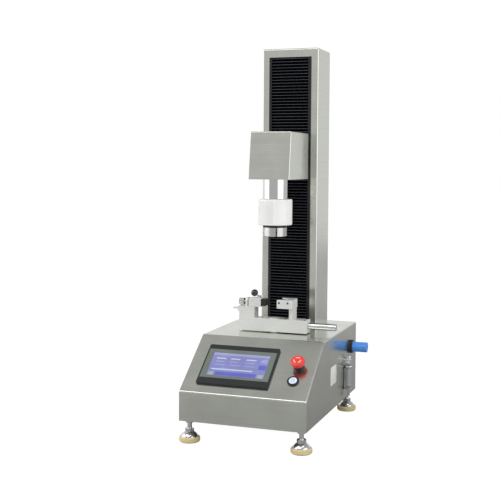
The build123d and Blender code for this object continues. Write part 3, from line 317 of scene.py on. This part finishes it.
# Floor: a pale plane, nearly white to the camera, that takes the object's soft shadow. Its colour is a
# painted shade, greyer near the object, so that the steel mirrors it as in the photograph.
REACH, DROP = 6, 0.0002
NEAR, NEAR_PAINTED_SHADE = 0.5, 0.42
DISTANT, DISTANT_ALBEDO = 3.5, 0.85
GLOW, GLOW_SHARE = 1.16, 0.85

floor_mesh = bpy.data.meshes.new("floor")
floor_mesh.from_pydata([(-REACH, -REACH, 0), (REACH, -REACH, 0), (REACH, REACH, 0), (-REACH, REACH, 0)],
                       [], [(0, 1, 2, 3)])
floor = bpy.data.objects.new("floor", floor_mesh)
floor.location.z = -DROP
scene.collection.objects.link(floor)
floor_look = bpy.data.materials.new("floor")
floor_look.use_nodes = True
f = Nodes(floor_look.node_tree)
floor_look.node_tree.nodes.clear()
spot = f.add("ShaderNodeNewGeometry").outputs["Position"]
away = f.add("ShaderNodeVectorMath", {0: spot}, operation="LENGTH").outputs["Value"]
# Painted shade: the floor's colour is greyer near the object, paler far from it
pale = f.grey(f.span(away, NEAR, DISTANT, NEAR_PAINTED_SHADE, DISTANT_ALBEDO))
paint = f.add("ShaderNodeBsdfDiffuse", {"Color": pale}).outputs[0]
glow = f.add("ShaderNodeEmission", {"Color": (1, 1, 1, 1), "Strength": GLOW}).outputs[0]
share = f.math("MULTIPLY", f.add("ShaderNodeLightPath").outputs["Is Camera Ray"], GLOW_SHARE)
blend = f.add("ShaderNodeMixShader", {0: share, 1: paint, 2: glow}).outputs[0]
f.tree.links.new(blend, f.add("ShaderNodeOutputMaterial").inputs[0])
floor_mesh.materials.append(floor_look)


def frame_at(where, out, up=UP):
    """A local frame at a point: Z out of the surface, Y as near up as it can be."""
    z = Vector(out).normalized()
    x = Vector(up).cross(z).normalized()
    return Matrix.Translation(where) @ Matrix((x, z.cross(x), z)).transposed().to_4x4()


def on_top(x, y, z):
    """A local frame on a level face."""
    return frame_at((x, y, z), UP, BACKWARD)


def on_slope(x, along, out):
    """A local frame on the sloping panel: right of the middle, up the slope and out of it."""
    return frame_at(Vector((x, 0, SLOPE_FOOT)) + SLOPE_UP * along + SLOPE_OUT * out, SLOPE_OUT, SLOPE_UP)


def polar(radius, degrees):
    return (radius * cos(radians(degrees)), radius * sin(radians(degrees)))


def rounded(width, height, corner, steps=5):
    """Outline of a rectangle with round corners, centred."""
    outline = []
    for side, end, start in ((1, 1, 0), (-1, 1, 90), (-1, -1, 180), (1, -1, 270)):
        for k in range(steps + 1):
            x, y = polar(corner, start + 90 * k / steps)
            outline.append((side * (width / 2 - corner) + x, end * (height / 2 - corner) + y))
    return outline


def hexagon(across):
    """Outline of a hexagon by its width across flats."""
    return [polar(across / 2 / cos(pi / 6), 60 * k) for k in range(6)]


SMOOTH_BELOW = radians(35)


class Shape:
    """Faces of turned and extruded forms, in the cabinet's millimetres, made into one piece."""

    def __init__(self):
        self.points, self.faces = [], []

    def add(self, points, faces, at=Matrix.Identity(4)):
        base = len(self.points)
        self.points += [at @ Vector(point) for point in points]
        self.faces += [[base + i for i in face] for face in faces]
        return self

    def turned(self, profile, at, steps=32):
        """(radius, height) pairs, from one end of the axis to the other, turned about local Z."""
        points = [(*polar(radius, 360 * k / steps), height) for radius, height in profile
                  for k in range(steps)]
        last = (len(profile) - 1) * steps
        faces = []
        for low in range(0, last, steps):
            for k in range(steps):
                n = (k + 1) % steps
                faces.append((low + k, low + n, low + steps + n, low + steps + k))
        faces += [tuple(reversed(range(steps))), tuple(range(last, last + steps))]
        return self.add(points, faces, at)

    def prism(self, outline, low, high, at):
        """An outline of (x, y) points, extruded along local Z."""
        count = len(outline)
        points = [(x, y, z) for z in (low, high) for x, y in outline]
        faces = [(i, (i + 1) % count, count + (i + 1) % count, count + i) for i in range(count)]
        faces += [tuple(reversed(range(count))), tuple(range(count, 2 * count))]
        return self.add(points, faces, at)

    def made(self, name, look, body, slot, bevel=0.0):
        """The piece, riding on a body. Without one it stays faceted."""
        mesh = bpy.data.meshes.new(name)
        mesh.from_pydata([place(*point) for point in self.points], [], self.faces)
        mesh.validate()
        work = bmesh.new()
        work.from_mesh(mesh)
        bmesh.ops.recalc_face_normals(work, faces=work.faces)
        work.to_mesh(mesh)
        work.free()
        mesh.materials.append(look)
        obj = bpy.data.objects.new(name, mesh)
        scene.collection.objects.link(obj)
        if bevel:
            softened = obj.modifiers.new("softened", "BEVEL")
            softened.width, softened.segments, softened.limit_method = bevel * MM, 2, "ANGLE"
        if body:
            mesh.shade_smooth()
            sharp = obj.modifiers.new("sharp", "EDGE_SPLIT")
            sharp.split_angle = SMOOTH_BELOW
            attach(obj, body)
        return obj


# Touch screen: a plain operating page without words, in thin layers above the glass
GLASS = 6.0
PAGE_TOP, BAND_TOP, FIELD_TOP, KEY_TOP = 0.1, 0.14, 0.16, 0.18
FIELD_STARTS = (-103, -62, -18)


def page_look(name, colour, uneven=0.05):
    """A lit colour of the page, with the glass's gloss."""
    return material(name, colour, 0.25, 0, uneven=uneven, speckle=0.015, coat_weight=0.15,
                    coat_roughness=0.2)


def field_row(widths, low, high):
    """Fields side by side, one from each start, between two places up the slope."""
    return [(start, start + width, low, high) for start, width in zip(FIELD_STARTS, widths)]


def screen_piece(name, look, fields, low, high, corner=0.6):
    """Flat fields on the screen, each (x from, x to, up the slope from, to)."""
    shape = Shape()
    for x0, x1, a0, a1 in fields:
        outline = rounded(x1 - x0, a1 - a0, corner, 2)
        shape.prism(outline, low, high, on_slope((x0 + x1) / 2, (a0 + a1) / 2, GLASS))
    shape.made(name, look, "base", "screen_glass")


page = page_look("screen page", rgb(134, 138, 196), 0.07)
page_top = page_look("screen page header", rgb(160, 164, 208))
page_band = page_look("screen page band", rgb(98, 104, 196))
page_light = page_look("screen page fields", rgb(196, 204, 222))
page_soft = page_look("screen page soft fields", rgb(156, 162, 206))
page_key = page_look("screen page keys", rgb(164, 176, 176))

bands = [(-93, 22, 59.5, 72), (22, 43, 88, 104)]
light_fields = field_row((27, 26, 28), 117, 121) + [(-107, 9, 78.5, 83)]
soft_fields = field_row((25, 22, 26), 106, 110) + field_row((31, 32, 30), 95, 98.5) + [(24, 41, 112, 124)]
keys = [(-112, -97, 59.5, 71), (27, 42, 59.5, 71)]
screen_piece("screen_page", page, [(-115, 44, 58.5, 138)], 0, PAGE_TOP)
screen_piece("screen_header", page_top, [(-115, 44, 130, 138)], PAGE_TOP, BAND_TOP)
screen_piece("screen_band", page_band, bands, PAGE_TOP, BAND_TOP)
screen_piece("screen_fields", page_light, light_fields, PAGE_TOP, FIELD_TOP)
screen_piece("screen_soft_fields", page_soft, soft_fields, PAGE_TOP, FIELD_TOP)
screen_piece("screen_keys", page_key, keys, PAGE_TOP, KEY_TOP, 1.5)

# Blank plates where the real one carries its labels: on the cabinet's right side and on the spindle
LABEL_THICKNESS, LABEL_GAP, LABEL_EDGE = 0.4, 0.05, 0.1
LABEL_WIDTH, LABEL_HEIGHT, LABEL_CORNER = 62, 52, 7
LABEL_DEPTH, LABEL_MIDDLE = 267, 154
blank = material("blank label", rgb(236, 237, 234), 0.42, 0, speckle=0.02, uneven=0.03)
cabinet_side = corners("cabinet_shell")[1].x
side_label = Shape().prism(rounded(LABEL_WIDTH, LABEL_HEIGHT, LABEL_CORNER), 0, LABEL_THICKNESS,
                           frame_at((cabinet_side, LABEL_DEPTH, LABEL_MIDDLE), RIGHTWARD))
side_label.made("side_label", blank, "base", "white_enamel", LABEL_EDGE)


def wrapped_patch(radius, low, high, left, right, steps=14):
    """A thin patch round the test axis, between two heights and two angles in degrees from the front."""
    points, faces = [], []
    for k in range(steps + 1):
        angle = radians(left + (right - left) * k / steps)
        for r in (radius + LABEL_GAP, radius + LABEL_THICKNESS):
            points += [(r * sin(angle), AXIS_DEPTH - r * cos(angle), z) for z in (low, high)]
    for i in range(0, 4 * steps, 4):
        j = i + 4
        faces += [(i + 2, j + 2, j + 3, i + 3), (i, i + 1, j + 1, j), (i, j, j + 2, i + 2),
                  (i + 1, i + 3, j + 3, j + 1)]
    last = 4 * steps
    faces += [(0, 2, 3, 1), (last, last + 1, last + 3, last + 2)]
    return Shape().add(points, faces)


PATCH_LEFT, PATCH_RIGHT = -50, 10
PATCH_BELOW, PATCH_ABOVE = 5, 5.5
housing_low, housing_high = corners("spindle_housing")
housing_radius = (housing_high.y - housing_low.y) / 2
housing_label = wrapped_patch(housing_radius, housing_low.z + PATCH_BELOW, housing_high.z - PATCH_ABOVE,
                              PATCH_LEFT, PATCH_RIGHT)
housing_label.made("housing_label", blank, "head", "white_enamel")

# Arrows on the emergency stop and the mark on the power button: generic signs
ESTOP, ESTOP_SIGN = on_slope(128, 113, 28.0), 0.2
POWER, POWER_SIGN = on_slope(124, 64, 4.2), 0.1
estop_mark = material("pale arrows", rgb(255, 196, 186), 0.4, 0, speckle=0.03)
power_mark = material("pale blue sign", rgb(150, 178, 240), 0.4, 0, speckle=0.03)


def arc_strip(shape, inner, outer, start, end, at, thickness, steps=12):
    """Part of a flat ring between two angles in degrees."""
    angles = [start + (end - start) * k / steps for k in range(steps + 1)]
    outline = [polar(outer, a) for a in angles] + [polar(inner, a) for a in reversed(angles)]
    count = len(outline)
    points = [(x, y, z) for z in (0, thickness) for x, y in outline]
    faces = [(i, (i + 1) % count, count + (i + 1) % count, count + i) for i in range(count)]
    for m in range(steps):
        n = count - 1 - m
        faces += [(m, n, n - 1, m + 1), (count + m, count + m + 1, count + n - 1, count + n)]
    shape.add(points, faces, at)


# Each arrow is an arc from its tail's angle to its neck's, and a triangle from there to its tip
ARC_INNER, ARC_OUTER = 7.2, 10.4
BARB_INNER, BARB_OUTER, TIP_RADIUS = 6.2, 11.5, 8.8
TAIL, NECK, TIP = -40, 28, 46
arrows = Shape()
for turn in (90, 210, 330):
    arc_strip(arrows, ARC_INNER, ARC_OUTER, turn + TAIL, turn + NECK, ESTOP, ESTOP_SIGN)
    barbs = [polar(BARB_INNER, turn + NECK), polar(BARB_OUTER, turn + NECK), polar(TIP_RADIUS, turn + TIP)]
    arrows.prism(barbs, 0, ESTOP_SIGN, ESTOP)
arrows.made("estop_arrows", estop_mark, "estop_head", "estop_red")

# The mark is a ring open at the top, with a short bar through the opening
STROKE, RING_OUTER, RING_GAP = 0.9, 4.5, 60
BAR_FROM, BAR_TO = 1, 5.5
sign = Shape()
arc_strip(sign, RING_OUTER - STROKE, RING_OUTER, 90 + RING_GAP / 2, 450 - RING_GAP / 2, POWER,
          POWER_SIGN, 20)
sign.prism([(-STROKE / 2, BAR_FROM), (STROKE / 2, BAR_FROM), (STROKE / 2, BAR_TO), (-STROKE / 2, BAR_TO)],
           0, POWER_SIGN, POWER)
sign.made("power_sign", power_mark, "power_cap", "button_white")


# Screw heads: the radius, the height and the socket's share of the radius
PANEL_SCREW = (3.2, 2.0, 0.5)
COVER_SCREW = (3.0, 0.1, 0.05)
INLET_SCREW = (2.6, 0.9, 0.5)
ARM_SCREW = (2.6, 1.2, 0.55)
BAR_SCREW = (3.4, 1.5, 0.55)
END_SCREW = (2.4, 1.2, 0.55)
screws = material("zinc screw", rgb(190, 191, 190), 0.3, 1, speckle=0.05)
dark_screws = material("black oxide screw", rgb(44, 44, 46), 0.4, 0.7, speckle=0.1, edge=0.3,
                       edge_colour=rgb(120, 120, 122))


def screw_head(shape, at, radius, height, socket):
    """A round screw head with a socket, standing on a local frame."""
    inner = radius * socket
    profile = [(radius, 0), (radius, 0.7 * height), (0.85 * radius, height), (inner, height),
               (inner, 0.25 * height)]
    shape.turned(profile, at, 20)


# Screws on the back: around the rear panel, down the column's cover and beside the mains inlet. The
# cover's are sunk just under its face.
panel_back = corners("cabinet_rear_panel")[1].y
panel_screws = [(x, z) for x in (-165, 165) for z in (72, 165, 252)] + [(-60, 69), (60, 69)]
rear = Shape()
for x, z in panel_screws:
    screw_head(rear, frame_at((x, panel_back, z), BACKWARD), *PANEL_SCREW)
rear.made("rear_panel_screws", screws, "base", "bright_steel")

COVER_SCREW_SUNK = 0.15
cover_back = corners("column_rear_cover")[1].y
cover = Shape()
for x in (-76, 76):
    for z in (285, 480, 670, 860, 1052):
        screw_head(cover, frame_at((x, cover_back - COVER_SCREW_SUNK, z), BACKWARD), *COVER_SCREW)
cover.made("column_cover_screws", screws, "base", "bright_steel")

INLET_SCREW_OFFSET = 20
inlet_low, inlet_high = corners("power_inlet")
inlet_middle = (inlet_low + inlet_high) / 2
inlet_screws = Shape()
for side in (-INLET_SCREW_OFFSET, INLET_SCREW_OFFSET):
    at = frame_at((inlet_middle.x + side, inlet_high.y, inlet_middle.z), BACKWARD)
    screw_head(inlet_screws, at, *INLET_SCREW)
inlet_screws.made("inlet_screws", dark_screws, "base", "black_steel")

# Screws of the fixture: through the driven arm's front, and down through the bar
BAR_TOP, ARM_SCREW_HEIGHT = 302.6, 350
END_SCREW_SIDE, END_SCREW_OFFSET = 92, 10.5
arm_front = corners("clamp_arm")[0].y
arm_screws = Shape()
for x in (22, 47):
    screw_head(arm_screws, frame_at((x, arm_front, ARM_SCREW_HEIGHT), FORWARD), *ARM_SCREW)
arm_screws.made("arm_screws", dark_screws, "clamp", "black_steel")
bar_screws = Shape()
for x in (-36, 34):
    screw_head(bar_screws, on_top(x, AXIS_DEPTH, BAR_TOP), *BAR_SCREW)
for side in (-END_SCREW_OFFSET, END_SCREW_OFFSET):
    screw_head(bar_screws, on_top(END_SCREW_SIDE, AXIS_DEPTH + side, BAR_TOP), *END_SCREW)
bar_screws.made("bar_screws", dark_screws, "base", "black_steel")

# Fittings of the air filter: its top cap, a port plug in front and the nut that holds the bowl
BOWL_NUT_HEIGHT, CAP_HEIGHT, PORT_NUT_HEIGHT = 8, 6, 5
block_low, block_high = corners("filter_head")
bowl_low, bowl_high = corners("filter_bowl")
bowl_middle = (bowl_low + bowl_high) / 2
block_middle = (block_low.z + block_high.z) / 2
cap = on_top(bowl_middle.x, bowl_middle.y, block_high.z)
port = frame_at((bowl_middle.x, block_low.y, block_middle), FORWARD)
bowl_nut = on_top(bowl_middle.x, bowl_middle.y, block_low.z - BOWL_NUT_HEIGHT)
fittings = Shape()
fittings.turned([(7.8, 0), (7.8, 3.5), (7, 4.5), (7, CAP_HEIGHT)], cap)
fittings.prism(hexagon(8), CAP_HEIGHT, CAP_HEIGHT + 3, cap)
fittings.prism(hexagon(13), 0, PORT_NUT_HEIGHT, port)
fittings.turned([(5, PORT_NUT_HEIGHT), (5, PORT_NUT_HEIGHT + 6), (4.2, PORT_NUT_HEIGHT + 7)], port, 24)
fittings.turned([(10.4, 0), (10.8, 0.8), (10.8, 6.8), (10.4, 7.8)], bowl_nut)
fittings.made("filter_fittings", looks["chrome"], "base", "chrome", 0.3)

# Bellows: pleated cloth between the column and the head.
# A pleat's ridge is a narrow flat with a sloping shoulder on each side, and carries a painted highlight: a
# paler line.
bellows_low, bellows_high = corners("bellows_upper")
CLOTH, FOLD_PITCH = 1.0, 8.7
FOLD_FRONT, FOLD_BACK, FOLD_HALF = bellows_low.y, bellows_high.y - CLOTH, bellows_high.x
RIDGE_FLAT, SHOULDER_HALF, SHOULDER_DEPTH = 0.6, 1.3, 1.4
# The painted highlight line on each ridge: its half width, half height, how far it stands proud and how
# far it sinks, then its colour
LINE_HALF_WIDTH, LINE_HALF_HEIGHT, LINE_PROUD, LINE_SUNK = 54.5, 0.45, 0.15, 0.3
ridge_highlight_look = material("bellows painted ridge highlight", rgb(66, 68, 76), 0.45, 0, speckle=0.15, uneven=0.12)


def folded(section, half):
    """A closed strip from (front, back, height) at each step, between two sides."""
    points = [(side, depth, height) for front, back, height in section
              for side, depth in ((-half, front), (half, front), (-half, back), (half, back))]
    last = 4 * (len(section) - 1)
    faces = [(0, 2, 3, 1), (last, last + 1, last + 3, last + 2)]
    for i in range(0, last, 4):
        faces += [(i, i + 1, i + 5, i + 4), (i + 2, i + 6, i + 7, i + 3), (i, i + 4, i + 6, i + 2),
                  (i + 1, i + 3, i + 7, i + 5)]
    return Shape().add(points, faces)


def bellows(name, fixed, moving):
    """Pleats from the height that stays to the height that follows the head, for a CAD node."""
    low, high = min(fixed, moving), max(fixed, moving)
    folds = round((high - low) / FOLD_PITCH)
    pitch = (high - low) / folds
    section, lines = [(FOLD_BACK, low)], Shape()
    for k in range(folds):
        ridge = low + (k + 0.5) * pitch
        section += [(FOLD_FRONT + SHOULDER_DEPTH, ridge - SHOULDER_HALF), (FOLD_FRONT, ridge - RIDGE_FLAT),
                    (FOLD_FRONT, ridge + RIDGE_FLAT), (FOLD_FRONT + SHOULDER_DEPTH, ridge + SHOULDER_HALF),
                    (FOLD_BACK, ridge + pitch / 2)]
        line = folded([(FOLD_FRONT - LINE_PROUD, FOLD_FRONT + LINE_SUNK, ridge + end)
                       for end in (-LINE_HALF_HEIGHT, LINE_HALF_HEIGHT)], LINE_HALF_WIDTH)
        lines.add(line.points, line.faces)
    cloth = folded([(y, y + CLOTH, z) for y, z in section], FOLD_HALF)
    # The cloth, and the painted highlight lines on its ridges
    pieces = [cloth.made(name + "_pleats", looks["bellows_cloth"], None, "bellows_cloth"),
              lines.made(name + "_ridge_highlights", ridge_highlight_look, None, "bellows_cloth")]
    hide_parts(name)
    for piece in pieces:
        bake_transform(piece)


lower_low, lower_high = corners("bellows_lower")
bellows("bellows_upper", bellows_high.z, bellows_low.z)
bellows("bellows_lower", lower_low.z, lower_high.z)

scene.view_settings.view_transform = "Standard"
